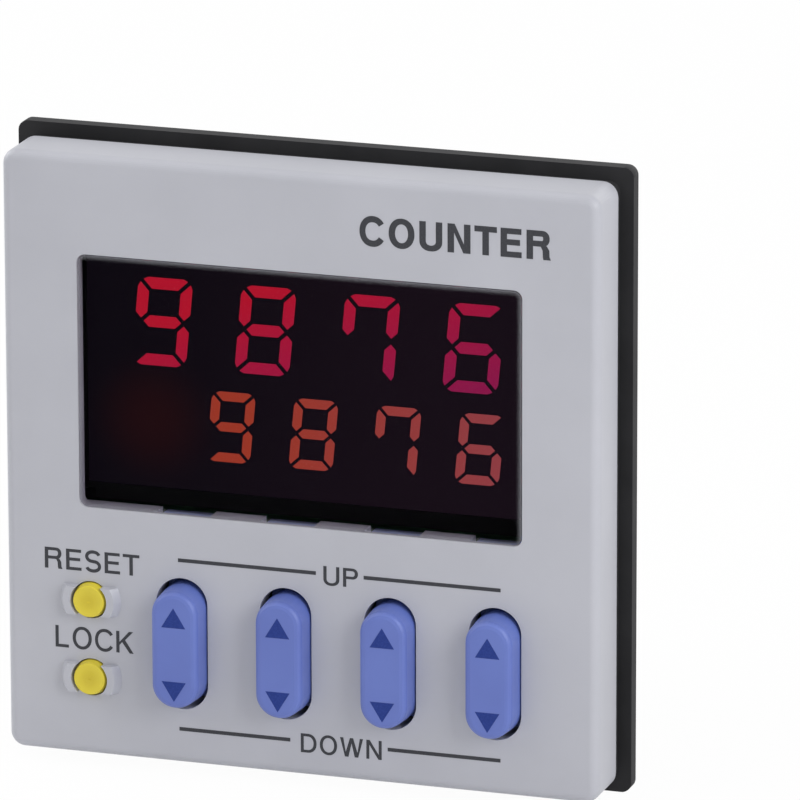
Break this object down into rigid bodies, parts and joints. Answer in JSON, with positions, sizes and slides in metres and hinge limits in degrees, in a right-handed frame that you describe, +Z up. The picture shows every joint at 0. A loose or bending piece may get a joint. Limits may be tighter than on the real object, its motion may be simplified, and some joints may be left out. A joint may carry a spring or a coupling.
{
  "type": "digital counter",
  "caption": "Square panel-mounted preset counter: digit rows behind a smoked lens, rocker keys, push buttons, gasket, short stepped case and round plug-in base.",
  "frame": {"origin": "middle of the 45 mm square panel cut-out, in the plane where the gasket's back face meets the panel", "axes": "+X to the right as read from the front, +Z up, +Y backwards through the panel, so the front faces -Y"},
  "size_m": [0.0496, 0.044, 0.0496],
  "materials": {
    "bezel_plastic": "moulded light bluish grey, fine matt texture",
    "gasket_rubber": "black moulded rubber",
    "smoked_acrylic": "smoked transparent acrylic, polished",
    "key_plastic": "moulded mid blue, satin",
    "button_plastic": "moulded yellow, satin",
    "shaft_steel": "ground steel pin",
    "frame_plastic": "black moulded frame",
    "display_glass": "dark display glass with polarising film",
    "lit_red": "lit red segments",
    "lit_orange": "lit orange segments",
    "clear_acrylic": "clear moulded light guide",
    "led_resin": "white moulded lamps",
    "strip_rubber": "layered conducting rubber",
    "board_laminate": "green solder mask on glass-fibre laminate",
    "switch_plastic": "black moulded",
    "chip_resin": "black moulded resin",
    "pin_metal": "gold-flashed pins",
    "core_iron": "stacked core sheets",
    "coil_wire": "enamelled winding",
    "relay_plastic": "moulded relay cover",
    "capacitor_sleeve": "shrunk sleeve on an aluminium can",
    "disc_coating": "dipped coating",
    "case_plastic": "moulded light grey, fine matt texture",
    "base_resin": "dark brown moulded resin",
    "plug_metal": "nickel-plated brass pins"
  },
  "bodies": {
    "housing": {"front_bezel": "bezel_plastic", "panel_gasket": "gasket_rubber", "display_lens": "smoked_acrylic", "key_shaft": "shaft_steel", "lcd_frame": "frame_plastic", "lcd_glass": "display_glass", "upper_digits": "lit_red", "lower_digits": "lit_orange", "light_guide": "clear_acrylic", "backlight_leds": "led_resin", "contact_strip": "strip_rubber", "display_board": "board_laminate", "tact_switches": "switch_plastic", "microcontroller": "chip_resin", "memory_chip": "chip_resin", "header_blocks": "switch_plastic", "header_pins": "pin_metal", "power_board": "board_laminate", "transformer_core": "core_iron", "transformer_coil": "coil_wire", "output_relay": "relay_plastic", "smoothing_capacitor": "capacitor_sleeve", "surge_disc": "disc_coating", "input_couplers": "chip_resin", "rear_case": "case_plastic", "plug_base": "base_resin", "plug_pins": "plug_metal"},
    "digit_key_1": {"digit_key_1": "key_plastic"},
    "digit_key_2": {"digit_key_2": "key_plastic"},
    "digit_key_3": {"digit_key_3": "key_plastic"},
    "digit_key_4": {"digit_key_4": "key_plastic"},
    "reset_button": {"reset_button": "button_plastic"},
    "lock_button": {"lock_button": "button_plastic"}
  },
  "joints": [
    {"name": "key_1_rock", "type": "hinge", "parent": "housing", "child": "digit_key_1", "pos_m": [-0.00958, -0.0031, -0.01426], "axis": [1, 0, 0], "range_deg": [-4, 4], "stiffness_Nm_per_rad": 0.08},
    {"name": "key_2_rock", "type": "hinge", "parent": "housing", "child": "digit_key_2", "pos_m": [-0.00113, -0.0031, -0.01426], "axis": [1, 0, 0], "range_deg": [-4, 4], "stiffness_Nm_per_rad": 0.08},
    {"name": "key_3_rock", "type": "hinge", "parent": "housing", "child": "digit_key_3", "pos_m": [0.00732, -0.0031, -0.01426], "axis": [1, 0, 0], "range_deg": [-4, 4], "stiffness_Nm_per_rad": 0.08},
    {"name": "key_4_rock", "type": "hinge", "parent": "housing", "child": "digit_key_4", "pos_m": [0.01577, -0.0031, -0.01426], "axis": [1, 0, 0], "range_deg": [-4, 4], "stiffness_Nm_per_rad": 0.08},
    {"name": "reset_press", "type": "slide", "parent": "housing", "child": "reset_button", "axis": [0, 1, 0], "range_m": [0, 0.0003], "stiffness_N_per_m": 1000},
    {"name": "lock_press", "type": "slide", "parent": "housing", "child": "lock_button", "axis": [0, 1, 0], "range_m": [0, 0.0003], "stiffness_N_per_m": 1000}
  ]
}
